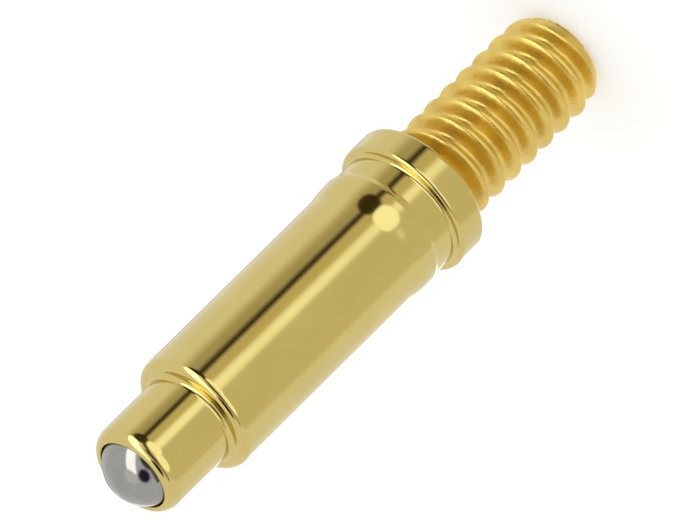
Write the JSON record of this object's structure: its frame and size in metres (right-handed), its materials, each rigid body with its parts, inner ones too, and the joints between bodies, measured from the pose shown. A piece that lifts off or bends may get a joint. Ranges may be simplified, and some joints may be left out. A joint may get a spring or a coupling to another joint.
{
  "type": "pogo pin",
  "caption": "Gold-plated spring contact pin with a rolling ball tip, a press-fit barrel, a seating flange and a screw stud.",
  "frame": {"origin": "centre of the flange's rear face, where the pin seats when it is screwed in", "axes": "+Z along the pin towards the ball tip, the stud reaches along -Z"},
  "size_m": [0.002, 0.002, 0.0095],
  "materials": {
    "gold_plating": "bright gold plating on turned brass",
    "spring_wire": "drawn stainless spring wire",
    "polished_steel": "polished steel ball"
  },
  "bodies": {
    "housing": {"housing": "gold_plating", "spring": "spring_wire"},
    "plunger": {"plunger": "gold_plating"},
    "ball": {"contact_ball": "polished_steel"}
  },
  "joints": [
    {"name": "plunger_slide", "type": "slide", "parent": "housing", "child": "plunger", "axis": [0, 0, -1], "range_m": [0, 0.00025], "stiffness_N_per_m": 700, "springref_m": -0.0005, "deforming": ["spring"]},
    {"name": "ball_roll", "type": "hinge", "parent": "plunger", "child": "ball", "pos_m": [0, 0, 0.0059], "axis": [1, 0, 0], "continuous": true}
  ]
}
